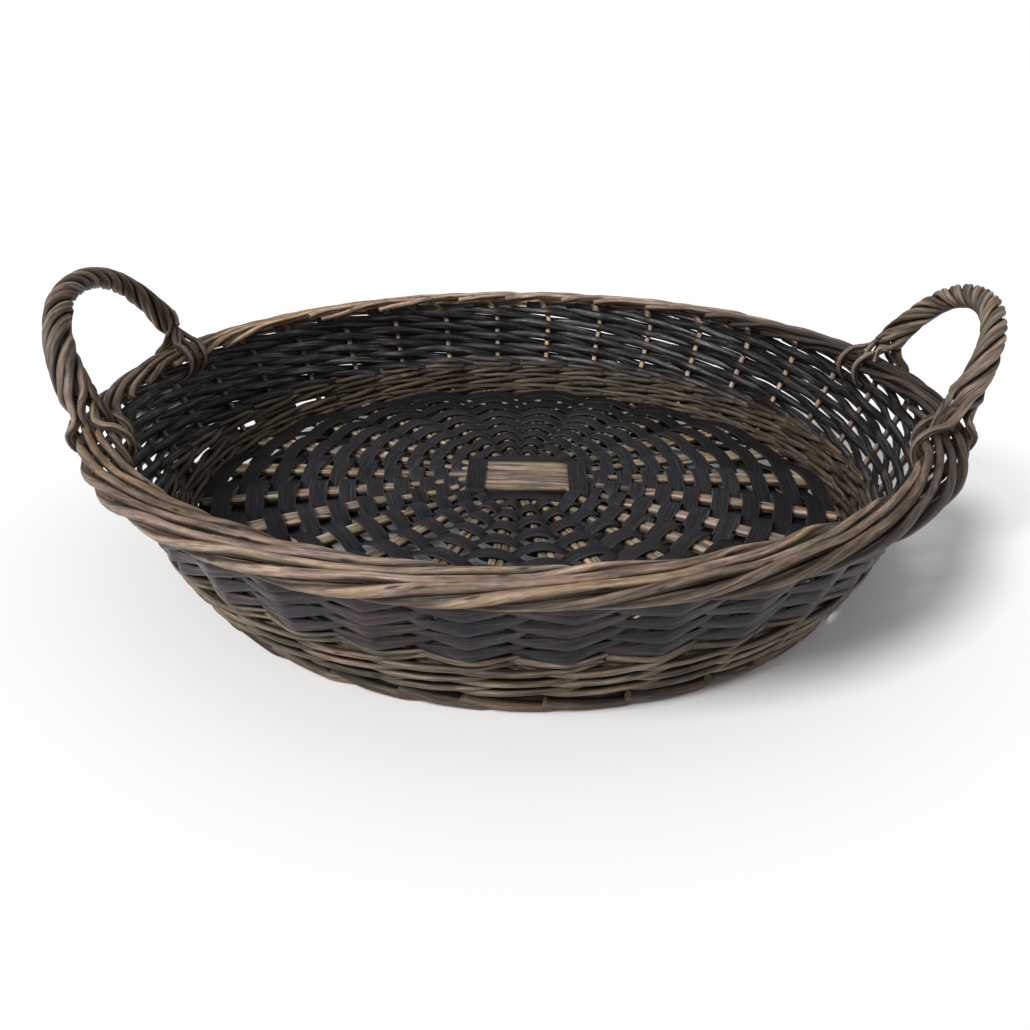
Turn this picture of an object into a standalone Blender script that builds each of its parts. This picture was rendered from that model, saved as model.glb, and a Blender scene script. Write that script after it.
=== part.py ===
"""Round willow tray basket with a raised woven base, a randed side, a rolled border and two roped handles.

Metres, +Z up. The origin is on the ground under the middle of the basket, and the handles stand
over +X and -X. Every rod is one solid that keeps CLEARANCE to the rods that it lies against.
"""

import math

import bmesh
import bpy
from mathutils import Vector

# Whole basket
RIM_RADIUS = 0.275
BASKET_HEIGHT = 0.104
FOOT_RADIUS = 0.2215
BASE_LEVEL = 0.024
BASE_CROWN = 0.006
WALL_BELLY = 0.0015
CLEARANCE = 0.0003

# Side stakes, one rod each from the foot to the end of its border strand
STAKE_COUNT = 34
STAKE_DIAMETER = 0.0046
STRAND_END_SHARE = 0.8

# Rolled border: the strands follow a flat loop whose outer edge hangs lower
BORDER_WIDTH = 0.0255
BORDER_LEAN = math.radians(6)
BORDER_EDGE_RADIUS = 0.0033
STRAND_SPACING = 0.0058
STRAND_RING_SHARE = 1.5
STRAND_END_TURN = math.radians(80)

# Base: two layers of flattened sticks crossed in the middle, spread like spokes
STICKS_EACH_LAYER = 6
STICK_PITCH = 0.0085
STICK_WIDTH = 0.0079
STICK_THICKNESS = 0.0052
STICK_END_DIAMETER = 0.005

# Two flat chip strips that chase each other round the spokes
CHIP_WIDTH = 0.0101
CHIP_THICKNESS = 0.0008
CHIP_GAP = 0.0005

# Waling round the foot and at the turn of the side, each rod stepping up a row at every round
WALE_DIAMETER = 0.006
WALE_STEP_STAKES = 3
WALE_OUTSIDE_STAKES = 2
FOOT_WALE_START_COUNT = 4
UPSETT_START_COUNT = 21
FOOT_WALE_ROW_COUNT = 2
UPSETT_ROW_COUNT = 3

# Two split willow bands that chase each other up the side
BAND_WIDTH = 0.0052
BAND_THICKNESS = 0.0022
BAND_GAP = 0.0009

# Foot border, whose rods each start outside the one before
FOOT_ROD_DIAMETER = 0.006
FOOT_ROD_COUNT = 17
FOOT_STEP = 0.0026
FOOT_ROD_CUT = 0.0008

# Handles: a bow with two bundles of rods wound round it
HANDLE_HALF_SPAN = math.radians(17.5)
HANDLE_RISE = 0.081
HANDLE_LEAN = math.radians(39)
BOW_DIAMETER = 0.0068
BOW_LEG_DEPTH = 0.034
WRAP_THICKNESS = 0.0045
WRAP_LOBE_COUNT = 2
WRAP_LAY = 0.072
WRAP_STEP = math.radians(36)
WRAP_VALLEY_SHARE = 0.7
WRAP_SKIP_COUNT = 1
WRAP_INNER_COUNT = 3

ROD_SIDE_COUNT = 5
STICK_SIDE_COUNT = 6
BOW_SIDE_COUNT = 6
ARCH_SAMPLE_COUNT = 720
SHARP_ANGLE = math.radians(75)


# Directions and places round the basket

def radial(angle):
    return Vector((math.cos(angle), math.sin(angle), 0))


def place(angle, radius, height):
    return radial(angle) * radius + Vector((0, 0, height))


def stake_spacing():
    return math.tau / STAKE_COUNT


def spoke_spacing():
    return math.tau / (4 * STICKS_EACH_LAYER)


# Border section, as radius and height

def border_straight_half():
    return (BORDER_WIDTH - STAKE_DIAMETER) / 2 - BORDER_EDGE_RADIUS


def border_centre():
    reach = BORDER_EDGE_RADIUS + STAKE_DIAMETER / 2
    radius = RIM_RADIUS - reach - border_straight_half() * math.cos(BORDER_LEAN)
    height = BASKET_HEIGHT - reach - border_straight_half() * math.sin(BORDER_LEAN)
    return radius, height


def loop_offset(length):
    """Place on the flat loop after a length from the middle of its underside, going outwards and over."""
    straight = border_straight_half()
    bend = math.pi * BORDER_EDGE_RADIUS
    if length <= straight:
        return length, -BORDER_EDGE_RADIUS
    if length <= straight + bend:
        angle = (length - straight) / BORDER_EDGE_RADIUS
        return straight + BORDER_EDGE_RADIUS * math.sin(angle), -BORDER_EDGE_RADIUS * math.cos(angle)
    if length <= 3 * straight + bend:
        return 2 * straight + bend - length, BORDER_EDGE_RADIUS
    angle = (length - 3 * straight - bend) / BORDER_EDGE_RADIUS
    return -straight - BORDER_EDGE_RADIUS * math.sin(angle), BORDER_EDGE_RADIUS * math.cos(angle)


def border_point(length):
    """Radius and height of a strand's centre after a length along the loop."""
    along, over = loop_offset(length)
    radius, height = border_centre()
    radius += along * math.cos(BORDER_LEAN) + over * math.sin(BORDER_LEAN)
    height += over * math.cos(BORDER_LEAN) - along * math.sin(BORDER_LEAN)
    return radius, height


def strand_length():
    return 3 * border_straight_half() + BORDER_EDGE_RADIUS * (math.pi + STRAND_END_TURN)


def strand_reach():
    """How many stakes a border strand passes, so that neighbours keep their spacing in the loop."""
    return math.floor(strand_length() / STRAND_SPACING)


def border_inner_radius():
    return 2 * border_centre()[0] - RIM_RADIUS


# Wall line, which the stakes follow from the foot to the border

def foot_centre_radius():
    return FOOT_RADIUS - FOOT_ROD_DIAMETER / math.sqrt(3) - FOOT_STEP / 2


def wall_slope():
    """Widening of the wall for each unit of height."""
    radius, height = border_point(0)
    return (radius - foot_centre_radius()) / (height - FOOT_ROD_DIAMETER)


def wall_cosine():
    return 1 / math.hypot(1, wall_slope())


def wall_radius(height):
    top = border_point(0)[1]
    share = (height - FOOT_ROD_DIAMETER) / (top - FOOT_ROD_DIAMETER)
    belly = 4 * WALL_BELLY * share * (1 - share)
    return foot_centre_radius() + wall_slope() * (height - FOOT_ROD_DIAMETER) + belly


def weave_offset(reach, spacing):
    """Offset of a weaver at each crossing that keeps its straight runs a reach away from the crossings."""
    return reach / math.sqrt(1 - (2 * reach / spacing) ** 2)


def side_offset(thickness, height):
    reach = (thickness + STAKE_DIAMETER) / 2 + CLEARANCE
    return weave_offset(reach, wall_radius(height) * stake_spacing())


# Heights of the rows on the wall

def wale_rise():
    return (WALE_DIAMETER + CLEARANCE) * wall_cosine()


def band_rise():
    return (BAND_WIDTH + BAND_GAP) * wall_cosine()


def wale_height(row):
    """Height of a wale row's middle, the lowest clear of the foot where the rod runs outside the stakes."""
    lowest = FOOT_ROD_DIAMETER + CLEARANCE + WALE_DIAMETER / 2
    drop = side_offset(WALE_DIAMETER, BASE_LEVEL) * wall_slope() * wall_cosine()
    return lowest + drop + row * wale_rise()


def band_bottom():
    top_row = wale_height(FOOT_WALE_ROW_COUNT + UPSETT_ROW_COUNT - 1)
    return top_row + ((WALE_DIAMETER + BAND_WIDTH) / 2 + CLEARANCE) * wall_cosine()


def band_steps():
    """Stakes that each band passes on its way to the underside of the border."""
    border_foot = border_point(0)[1] - STAKE_DIAMETER - side_offset(BAND_THICKNESS, BASKET_HEIGHT)
    top = border_foot - BAND_WIDTH / 2 * wall_cosine()
    return math.floor((top - band_bottom()) / (2 * band_rise()) * STAKE_COUNT)


# Mesh building

def finish_material(name, colour, roughness):
    material = bpy.data.materials.new(name)
    material.use_nodes = True
    shader = material.node_tree.nodes["Principled BSDF"]
    shader.inputs["Base Color"].default_value = (*colour, 1)
    shader.inputs["Roughness"].default_value = roughness
    shader.inputs["Metallic"].default_value = 0
    material.diffuse_color = (*colour, 1)
    return material


def add_piece(name, mesh, root, turn=0.0):
    """Object for a mesh, parented to the basket's root and turned about the middle of the basket."""
    piece = bpy.data.objects.new(name, mesh)
    piece.parent = root
    piece.rotation_euler.z = turn
    bpy.context.scene.collection.objects.link(piece)
    return piece


def solid_mesh(name, rings, material, smooth=True, loop=False):
    """Closed mesh through rings of points, with its ends capped or joined to each other."""
    shape = bmesh.new()
    layers = [[shape.verts.new(point) for point in ring] for ring in rings]
    pairs = list(zip(layers, layers[1:]))
    if loop:
        pairs.append((layers[-1], layers[0]))
    else:
        shape.faces.new(layers[0])
        shape.faces.new(layers[-1])
    for lower, upper in pairs:
        for index in range(len(lower)):
            after = (index + 1) % len(lower)
            shape.faces.new((lower[index], lower[after], upper[after], upper[index]))
    bmesh.ops.recalc_face_normals(shape, faces=shape.faces)
    mesh = bpy.data.meshes.new(name)
    shape.to_mesh(mesh)
    shape.free()
    mesh.materials.append(material)
    if smooth:
        mesh.shade_smooth()
        mesh.set_sharp_from_angle(angle=SHARP_ANGLE)
    return mesh


def tangents(points):
    """Direction of a path at each of its points, halfway between the runs that meet there."""
    runs = [(after - before).normalized() for before, after in zip(points, points[1:])]
    middle = [(before + after).normalized() for before, after in zip(runs, runs[1:])]
    return [runs[0], *middle, runs[-1]]


def oval_ring(centre, direction, reference, width, thickness, sides, turn=0.0):
    """Ring square to direction; width lies across the reference direction, thickness along it."""
    over = (reference - direction * reference.dot(direction)).normalized()
    across = direction.cross(over)
    ring = []
    for side in range(sides):
        angle = math.tau * side / sides + turn
        sideways = across * (width / 2 * math.cos(angle))
        ring.append(centre + sideways + over * (thickness / 2 * math.sin(angle)))
    return ring


# Side: stakes with their border strands

def stake_stations():
    """Centre points and diameters of the stake at +X: up the wall, then round the border."""
    entry_radius, entry_height = border_point(0)
    seat = FOOT_ROD_DIAMETER + CLEARANCE
    stations = []
    for height in (seat, BASE_LEVEL, (BASE_LEVEL + entry_height) / 2, entry_height - STAKE_DIAMETER):
        stations.append((place(0, wall_radius(height), height), STAKE_DIAMETER))
    reach = strand_reach()
    steps = round(reach * STRAND_RING_SHARE)
    bend = STAKE_DIAMETER / 2 / entry_radius
    for step in range(steps + 1):
        share = step / steps
        radius, height = border_point(strand_length() * share)
        turn = share * reach * stake_spacing() + bend * (1 - share)
        stations.append((place(turn, radius, height), STAKE_DIAMETER * (1 - (1 - STRAND_END_SHARE) * share)))
    return stations


def build_stakes(root, material):
    stations = stake_stations()
    directions = tangents([point for point, _ in stations])
    directions[0] = Vector((0, 0, 1))
    rings = []
    for (point, size), direction in zip(stations, directions):
        outward = Vector((point.x, point.y, 0)).normalized()
        rings.append(oval_ring(point, direction, outward, size, size, ROD_SIDE_COUNT))
    mesh = solid_mesh("stake", rings, material)
    for index in range(STAKE_COUNT):
        add_piece(f"stake_{index + 1:02d}", mesh, root, index * stake_spacing())


# Side: rods and bands woven between the stakes

def wall_ring(angle, height, offset, corners, width, thickness):
    """Section of a weaver at one stake, turned to the wall's slope and moved off the stake line."""
    cosine = wall_cosine()
    off_wall = (radial(angle) - Vector((0, 0, wall_slope()))) * cosine
    up_wall = (radial(angle) * wall_slope() + Vector((0, 0, 1))) * cosine
    centre = place(angle, wall_radius(height), height) + off_wall * offset
    return [centre + off_wall * (x * thickness / 2) + up_wall * (y * width / 2) for x, y in corners]


def round_corners():
    turns = [math.tau * side / ROD_SIDE_COUNT for side in range(ROD_SIDE_COUNT)]
    return [(math.cos(turn), math.sin(turn)) for turn in turns]


def build_wale(name, lowest, rows, start, root, material):
    """A rod outside two stakes and inside the third, which steps up a row at the end of each round."""
    corners = round_corners()
    rings = []
    for step in range(rows * STAKE_COUNT - WALE_STEP_STAKES + 1):
        rounds = step // STAKE_COUNT
        ramp = max(0, step % STAKE_COUNT - STAKE_COUNT + WALE_STEP_STAKES) / WALE_STEP_STAKES
        height = lowest + wale_rise() * (rounds + ramp)
        side = -1 if step % (WALE_OUTSIDE_STAKES + 1) == 0 else 1
        offset = side * side_offset(WALE_DIAMETER, height)
        turn = (start + step) * stake_spacing()
        rings.append(wall_ring(turn, height, offset, corners, WALE_DIAMETER, WALE_DIAMETER))
    add_piece(name, solid_mesh(name, rings, material), root)


def build_waling(root, material):
    build_wale("foot_wale", wale_height(0), FOOT_WALE_ROW_COUNT, FOOT_WALE_START_COUNT, root, material)
    upsett = wale_height(FOOT_WALE_ROW_COUNT)
    build_wale("upsett_wale", upsett, UPSETT_ROW_COUNT, UPSETT_START_COUNT, root, material)


def build_band(name, start, root, material):
    """A split rod that climbs spirally, outside one stake and inside the next."""
    corners = ((-1, -1), (1, -1), (1, 1), (-1, 1))
    rings = []
    for step in range(band_steps() + 1):
        height = band_bottom() + 2 * band_rise() * step / STAKE_COUNT
        side = 1 if step % 2 == 0 else -1
        offset = side * side_offset(BAND_THICKNESS, height)
        turn = (start + step) * stake_spacing()
        rings.append(wall_ring(turn, height, offset, corners, BAND_WIDTH, BAND_THICKNESS))
    add_piece(name, solid_mesh(name, rings, material, smooth=False), root)


def build_randing(root, material):
    build_band("side_band_a", 0, root, material)
    build_band("side_band_b", STAKE_COUNT // 2, root, material)


# Base: sticks and chip strips

def base_end_radius(depth):
    """Radius inside which the base clears the rods of the waling, down to a depth under its level."""
    height = BASE_LEVEL - depth
    reach = side_offset(WALE_DIAMETER, height) + WALE_DIAMETER / 2 + CLEARANCE
    return wall_radius(height) - reach / wall_cosine()


def stick_end_radius():
    return base_end_radius(STICK_END_DIAMETER / 4)


def slath_half():
    return STICK_PITCH * STICKS_EACH_LAYER / 2


def slath_corner():
    return math.hypot(slath_half(), slath_half() - STICK_PITCH / 2)


def base_height(radius):
    share = radius / stick_end_radius()
    return BASE_LEVEL + BASE_CROWN * (1 - share * share)


def stick_half(order):
    """Half of a stick along +X: its edge of the square, where its spoke begins, the middle and the end."""
    aside = order * STICK_PITCH
    spoke = order * spoke_spacing()
    start = math.hypot(slath_half(), aside) + STICK_PITCH / 2
    end = stick_end_radius()
    half = [(Vector((slath_half(), aside, base_height(0))), STICK_WIDTH, STICK_THICKNESS)]
    for radius in (start, (start + end) / 2, end):
        point = place(spoke, radius, base_height(radius))
        half.append((point, STICK_END_DIAMETER, STICK_END_DIAMETER))
    return half


def build_stick(name, layer, order, root, material):
    """A stick from edge to edge: flat across the middle square, bent to a spoke on both sides."""
    half = stick_half(order)
    half[0][0].z += (STICK_THICKNESS + CLEARANCE) / 2 * (-1 if layer else 1)
    mirrored = [(Vector((-point.x, point.y, point.z)), width, thick) for point, width, thick in half]
    stations = list(reversed(mirrored)) + half
    directions = tangents([point for point, _, _ in stations])
    rings = []
    for (point, width, thick), direction in zip(stations, directions):
        rings.append(oval_ring(point, direction, Vector((0, 0, 1)), width, thick, STICK_SIDE_COUNT))
    add_piece(name, solid_mesh(name, rings, material), root, layer * math.pi / 2)


def build_sticks(root, material):
    for layer, word in enumerate(("upper", "lower")):
        for number in range(STICKS_EACH_LAYER):
            order = number - (STICKS_EACH_LAYER - 1) / 2
            build_stick(f"base_stick_{word}_{number + 1}", layer, order, root, material)


def chip_ring(angle, radius, side):
    """Section of a strip over or under a spoke, with room for the runs at its inner edge."""
    spacing = (radius - CHIP_WIDTH / 2) * spoke_spacing()
    lift = weave_offset((CHIP_THICKNESS + STICK_THICKNESS) / 2 + CLEARANCE, spacing)
    centre = place(angle, radius, base_height(radius) + side * lift)
    across = radial(angle) * (CHIP_WIDTH / 2)
    over = Vector((0, 0, CHIP_THICKNESS / 2))
    return [centre - across - over, centre + across - over, centre + across + over, centre - across + over]


def build_chip(name, start, first_side, root, material):
    """A strip that spirals out from the crossed sticks, over one spoke and under the next."""
    spokes = 4 * STICKS_EACH_LAYER
    first = slath_corner() + (STICK_PITCH + CHIP_WIDTH) / 2
    last = base_end_radius(STICK_THICKNESS / 2 + CHIP_THICKNESS + CLEARANCE) - CHIP_WIDTH / 2
    growth = 2 * (CHIP_WIDTH + CHIP_GAP)
    rings = []
    for step in range(math.floor((last - first) / growth * spokes) + 1):
        side = first_side if step % 2 == 0 else -first_side
        turn = (start + step + 1 / 2) * spoke_spacing()
        rings.append(chip_ring(turn, first + growth * step / spokes, side))
    add_piece(name, solid_mesh(name, rings, material, smooth=False), root)


def build_base(root, stick_material, chip_material):
    build_sticks(root, stick_material)
    build_chip("base_chip_a", 0, 1, root, chip_material)
    build_chip("base_chip_b", round(math.pi / spoke_spacing()), -1, root, chip_material)


# Foot

def foot_ring(angle, step):
    """Six-sided section with its underside flat on the ground."""
    half = FOOT_ROD_DIAMETER / 2
    flat = half / math.sqrt(3)
    centre = place(angle, foot_centre_radius() + step, half)
    corners = ((-flat, -half), (flat, -half), (2 * flat, 0), (flat, half), (-flat, half), (-2 * flat, 0))
    return [centre + radial(angle) * x + Vector((0, 0, z)) for x, z in corners]


def build_foot(root, material):
    """The foot border: each rod starts outside the end of the one before it."""
    spacing = math.tau / FOOT_ROD_COUNT
    cut = FOOT_ROD_CUT / FOOT_RADIUS
    rings = []
    for rod in range(FOOT_ROD_COUNT):
        rings.append(foot_ring(rod * spacing, FOOT_STEP / 2))
        rings.append(foot_ring((rod + 1 / 2) * spacing, 0))
        rings.append(foot_ring((rod + 1) * spacing - cut, -FOOT_STEP / 2))
    add_piece("foot_border", solid_mesh("foot_border", rings, material, loop=True), root)


# Handles, modelled over +X; the left one is the same handle turned half way round

def handle_rise():
    """Direction up the leaning arch."""
    return Vector((math.sin(HANDLE_LEAN), 0, math.cos(HANDLE_LEAN)))


def handle_face():
    """Direction square to the plane of the arch."""
    return Vector((math.cos(HANDLE_LEAN), 0, -math.sin(HANDLE_LEAN)))


def arch_points():
    """Points of the arch at even lengths, one for each step of the wraps' twist."""
    radius = border_inner_radius() - 2 * CLEARANCE - BOW_DIAMETER / 2
    foot = Vector((radius * math.cos(HANDLE_HALF_SPAN), 0, BASKET_HEIGHT - 2 * CLEARANCE))
    half_span = Vector((0, radius * math.sin(HANDLE_HALF_SPAN), 0))
    fine = []
    for step in range(ARCH_SAMPLE_COUNT + 1):
        angle = math.pi * step / ARCH_SAMPLE_COUNT
        fine.append(foot - half_span * math.cos(angle) + handle_rise() * (HANDLE_RISE * math.sin(angle)))
    lengths = [0.0]
    for before, after in zip(fine, fine[1:]):
        lengths.append(lengths[-1] + (after - before).length)
    count = round(lengths[-1] / (WRAP_LAY * WRAP_STEP / math.tau))
    points = []
    for step in range(count + 1):
        target = lengths[-1] * step / count
        nearest = min(range(len(lengths)), key=lambda index: abs(lengths[index] - target))
        points.append(fine[nearest])
    return points


def bow_leg(turn):
    """Lower end of a bow, against the inside of the weave."""
    low = BASKET_HEIGHT - BOW_LEG_DEPTH
    reach = side_offset(BAND_THICKNESS, low) + (BAND_THICKNESS + BOW_DIAMETER) / 2 + CLEARANCE
    return place(turn, wall_radius(low) - reach / wall_cosine(), low)


def bow_mesh(arch, material):
    points = [bow_leg(-HANDLE_HALF_SPAN), *arch, bow_leg(HANDLE_HALF_SPAN)]
    rings = []
    for point, direction in zip(points, tangents(points)):
        rings.append(oval_ring(point, direction, handle_face(), BOW_DIAMETER, BOW_DIAMETER, BOW_SIDE_COUNT))
    return solid_mesh("handle_bow", rings, material)


def wrap_section():
    """Section of one bundle round the bow, as angles and distances: lobes outside, the bow's room inside."""
    arc = math.pi - 2 * CLEARANCE / (BOW_DIAMETER / 2)
    room = (BOW_DIAMETER / 2 + CLEARANCE) / math.cos(WRAP_STEP / 2) / math.cos(arc / WRAP_INNER_COUNT / 2)
    lobe = room + WRAP_THICKNESS
    valley = room + WRAP_THICKNESS * WRAP_VALLEY_SHARE
    section = []
    for step in range(2 * WRAP_LOBE_COUNT + 1):
        section.append((arc * step / (2 * WRAP_LOBE_COUNT), lobe if step % 2 else valley))
    for step in range(WRAP_INNER_COUNT, -1, -1):
        section.append((arc * step / WRAP_INNER_COUNT, room))
    return section


def wrap_mesh(arch, start, material):
    """A bundle of rods wound round the bow from one foot of the arch to the other."""
    section = wrap_section()
    rings = []
    for index, (point, direction) in enumerate(zip(arch, tangents(arch))):
        if WRAP_SKIP_COUNT <= index < len(arch) - WRAP_SKIP_COUNT:
            across = direction.cross(handle_face())
            turn = start + index * WRAP_STEP
            ring = []
            for angle, size in section:
                aim = across * math.cos(angle + turn) - handle_face() * math.sin(angle + turn)
                ring.append(point + aim * size)
            rings.append(ring)
    return solid_mesh("handle_wrap", rings, material)


def build_handles(root, bow_material, wrap_material):
    arch = arch_points()
    bow = bow_mesh(arch, bow_material)
    first_wrap = wrap_mesh(arch, 0, wrap_material)
    second_wrap = wrap_mesh(arch, math.pi, wrap_material)
    for word, turn in (("right", 0), ("left", math.pi)):
        add_piece(f"handle_bow_{word}", bow, root, turn)
        add_piece(f"handle_wrap_{word}_a", first_wrap, root, turn)
        add_piece(f"handle_wrap_{word}_b", second_wrap, root, turn)


def main():
    for old in list(bpy.data.objects):
        bpy.data.objects.remove(old)
    root = bpy.data.objects.new("basket", None)
    bpy.context.scene.collection.objects.link(root)
    build_stakes(root, finish_material("stake_willow", (0.21, 0.155, 0.11), 0.6))
    build_waling(root, finish_material("wale_willow", (0.13, 0.095, 0.05), 0.6))
    build_randing(root, finish_material("side_willow", (0.028, 0.024, 0.026), 0.5))
    sticks = finish_material("stick_willow", (0.20, 0.15, 0.10), 0.65)
    build_base(root, sticks, finish_material("chip_black", (0.012, 0.013, 0.013), 0.55))
    build_foot(root, finish_material("foot_willow", (0.10, 0.075, 0.05), 0.6))
    bows = finish_material("bow_willow", (0.16, 0.12, 0.09), 0.65)
    build_handles(root, bows, finish_material("handle_willow", (0.15, 0.11, 0.085), 0.6))


main()
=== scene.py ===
import math

import bpy
import numpy as np
from mathutils import Matrix, Vector


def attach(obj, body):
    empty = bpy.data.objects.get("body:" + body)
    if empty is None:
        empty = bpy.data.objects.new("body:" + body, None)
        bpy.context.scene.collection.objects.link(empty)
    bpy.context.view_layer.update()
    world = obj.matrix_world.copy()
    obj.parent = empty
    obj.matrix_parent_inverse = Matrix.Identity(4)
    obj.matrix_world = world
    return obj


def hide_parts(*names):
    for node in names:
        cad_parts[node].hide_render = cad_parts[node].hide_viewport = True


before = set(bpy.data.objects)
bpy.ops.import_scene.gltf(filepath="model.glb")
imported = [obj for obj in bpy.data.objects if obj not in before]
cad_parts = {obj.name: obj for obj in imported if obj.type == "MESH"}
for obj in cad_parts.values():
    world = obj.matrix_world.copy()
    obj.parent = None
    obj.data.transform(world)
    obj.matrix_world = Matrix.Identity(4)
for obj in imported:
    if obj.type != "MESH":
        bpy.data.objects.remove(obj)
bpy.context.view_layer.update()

chance = np.random.default_rng(11)
TAU = math.tau


# ---- Lines of the basket, in metres and in the frame of the CAD ----

RIM_RADIUS = 0.275
STAKES = 34
SPACING = TAU / STAKES

# The line of the stakes leans outwards from the foot to the border, with a slight belly
FOOT_LINE, FOOT_TOP = 0.2158, 0.006
BORDER_FOOT_RADIUS, BORDER_FOOT_HEIGHT = 0.2585, 0.0928
BELLY = 0.005
SLOPE = (BORDER_FOOT_RADIUS - FOOT_LINE) / (BORDER_FOOT_HEIGHT - FOOT_TOP)
COSINE = 1 / math.hypot(1, SLOPE)

# The strands of the border wind round a flat, leaning loop
LOOP_RADIUS, LOOP_HEIGHT = 0.26229, 0.09765
LOOP_LEAN = math.radians(6)
LOOP_STRAIGHT, LOOP_EDGE = 0.00715, 0.0033
LOOP_SAMPLES = 400

# Heights grow by this share at the rim over +X, and shrink by it over -X
RIM_RISE = 0.045


def ring_point(angle, radius, height):
    """Point at an angle round the basket."""
    angle, radius, height = np.broadcast_arrays(angle, radius, height)
    return np.stack([radius * np.cos(angle), radius * np.sin(angle), height], -1).astype(float)


def wall_radius(height):
    share = (height - FOOT_TOP) / (BORDER_FOOT_HEIGHT - FOOT_TOP)
    return FOOT_LINE + SLOPE * (height - FOOT_TOP) + BELLY * share * (1 - share)


def wall_point(angle, height, off):
    """Point on the line of the stakes, moved square off the wall."""
    return ring_point(angle, wall_radius(height) + COSINE * off, height - SLOPE * COSINE * off)


def wall_out(angle, tilt=0.0):
    """Direction off the wall, turned up towards level by the tilt."""
    angle, fall = np.broadcast_arrays(angle, math.atan(SLOPE) - np.asarray(tilt, float))
    return ring_point(angle, np.cos(fall), -np.sin(fall))


def loop_table():
    """Offsets along a border strand's loop: lengths, radii, heights and outward directions."""
    bend = math.pi * LOOP_EDGE
    rows = []
    for length in np.linspace(0, 2 * bend + 4 * LOOP_STRAIGHT, LOOP_SAMPLES):
        if length < LOOP_STRAIGHT:
            x, y, nx, ny = length, -LOOP_EDGE, 0, -1
        elif length < LOOP_STRAIGHT + bend:
            a = (length - LOOP_STRAIGHT) / LOOP_EDGE
            nx, ny = math.sin(a), -math.cos(a)
            x, y = LOOP_STRAIGHT + LOOP_EDGE * nx, LOOP_EDGE * ny
        elif length < 3 * LOOP_STRAIGHT + bend:
            x, y, nx, ny = 2 * LOOP_STRAIGHT + bend - length, LOOP_EDGE, 0, 1
        elif length < 3 * LOOP_STRAIGHT + 2 * bend:
            a = (length - 3 * LOOP_STRAIGHT - bend) / LOOP_EDGE
            nx, ny = -math.sin(a), math.cos(a)
            x, y = -LOOP_STRAIGHT + LOOP_EDGE * nx, LOOP_EDGE * ny
        else:
            x, y, nx, ny = length - 4 * LOOP_STRAIGHT - 2 * bend, -LOOP_EDGE, 0, -1
        rows.append((length, x, y, nx, ny))
    length, x, y, nx, ny = np.array(rows).T
    c, s = math.cos(LOOP_LEAN), math.sin(LOOP_LEAN)
    return length, x * c + y * s, y * c - x * s, nx * c + ny * s, ny * c - nx * s


LOOP = loop_table()


def loop_place(length, grow=0.0):
    """Radius, height and outward direction of the border's loop after a length from its underside."""
    r, z, nr, nz = (np.interp(length, LOOP[0], LOOP[i]) for i in (1, 2, 3, 4))
    return LOOP_RADIUS + r + nr * grow, LOOP_HEIGHT + z + nz * grow, nr, nz


def drift(count, amplitude, waves):
    """Slow, smooth wandering along a rod."""
    t = np.linspace(0, 1, count) * TAU * waves
    a, b, c = chance.uniform(0, TAU, 3)
    return amplitude * (np.sin(t + a) + 0.6 * np.sin(2.3 * t + b) + 0.3 * np.sin(4.1 * t + c)) / 1.4


def spline(keys, step=0.003):
    """Smooth curve through rows of keys, whose first three columns are a point."""
    keys = np.asarray(keys, float)
    padded = np.vstack([2 * keys[0] - keys[1], keys, 2 * keys[-1] - keys[-2]])
    rows = []
    for i in range(1, len(padded) - 2):
        a, b, c, d = padded[i - 1:i + 3]
        count = max(2, math.ceil(np.linalg.norm(c[:3] - b[:3]) / step))
        t = np.linspace(0, 1, count, endpoint=False)[:, None]
        rows.append(0.5 * (2 * b + (c - a) * t + (2 * a - 5 * b + 4 * c - d) * t ** 2
                           + (3 * b - a - 3 * c + d) * t ** 3))
    rows.append(keys[-1:])
    return np.vstack(rows)


# ---- Rods and strips as meshes ----

def round_section(count):
    turn = np.arange(count) / count * TAU
    return np.stack([np.cos(turn), np.sin(turn)], -1)


def split_section():
    """Half-round section: the flat split face looks outwards."""
    turn = np.arange(7) / 6 * math.pi
    back = np.stack([-np.cos(turn), 0.35 - 1.35 * np.sin(turn)], -1)
    return np.vstack([back, [[0.78, 0.62], [0, 0.7], [-0.78, 0.62]]])


# Sections in half widths and half thicknesses: round rods, split rods, flat strips and base sticks
ROUND = round_section(10)
SPLIT = split_section()
FLAT = np.array([[-1, -0.7], [-0.5, -1], [0.5, -1], [1, -0.7], [1, 0.7], [0.5, 1], [-0.5, 1], [-1, 0.7]])
STICK = np.array([[-1, -0.45], [-0.7, -0.9], [0, -1], [0.7, -0.9], [1, -0.45],
                  [1, 0.4], [0.72, 0.86], [0.25, 1], [-0.25, 0.97], [-0.72, 0.86], [-1, 0.4]])

# Each end of a rod closes over a short tip, and its grain starts anywhere in a long stretch
TIP_LIMIT, TIP_SHARE = 0.0009, 0.16
GRAIN_STRETCH = 40


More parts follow.
